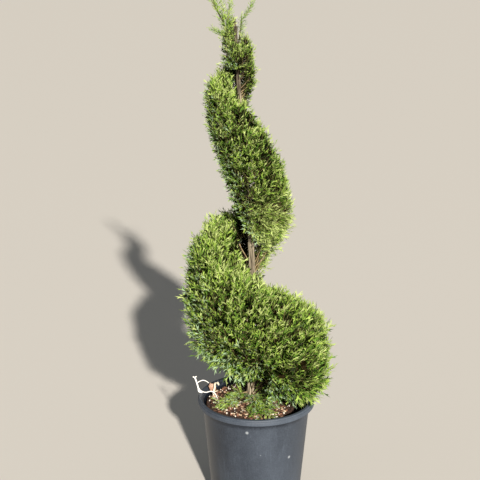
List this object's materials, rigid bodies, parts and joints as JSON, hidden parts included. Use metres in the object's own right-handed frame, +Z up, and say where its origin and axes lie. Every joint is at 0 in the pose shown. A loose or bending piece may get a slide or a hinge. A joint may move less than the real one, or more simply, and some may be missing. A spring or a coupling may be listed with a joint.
{
  "type": "potted spiral topiary",
  "caption": "Clipped conifer whose dense foliage climbs its leaning trunk as a spiral ramp, under a feathery leading shoot, in a round nursery pot.",
  "frame": {"origin": "centre of the pot's flat underside", "axes": "+Z up the plant; -Y is the front, the side that the picture shows; +X to the right as seen from the front"},
  "size_m": [0.4415, 0.3655, 1.3767],
  "materials": {
    "bark": "matte",
    "foliage": "matte",
    "pot_plastic": "satin",
    "potting_mix": "matte",
    "tie_plastic": "satin"
  },
  "bodies": {
    "root": {"trunk": "bark", "bough_lower_coil_1": "bark", "bough_lower_coil_2": "bark", "bough_lower_coil_3": "bark", "bough_lower_coil_4": "bark", "bough_lower_coil_5": "bark", "bough_middle_coil_1": "bark", "bough_middle_coil_2": "bark", "bough_middle_coil_3": "bark", "bough_middle_coil_4": "bark", "bough_middle_coil_5": "bark", "bough_leader_left": "bark", "bough_leader_right": "bark", "lower_coil_1": "foliage", "lower_coil_2": "foliage", "lower_coil_3": "foliage", "lower_coil_4": "foliage", "lower_coil_5": "foliage", "middle_coil_1": "foliage", "middle_coil_2": "foliage", "middle_coil_3": "foliage", "middle_coil_4": "foliage", "middle_coil_5": "foliage", "top_coil_1": "foliage", "top_coil_2": "foliage", "top_coil_3": "foliage", "top_coil_4": "foliage", "leader_left": "foliage", "leader_right": "foliage", "foot_shoot_left": "foliage", "foot_shoot_right": "foliage", "pot": "pot_plastic", "potting_mix": "potting_mix", "rim_tie": "tie_plastic"}
  },
  "joints": []
}
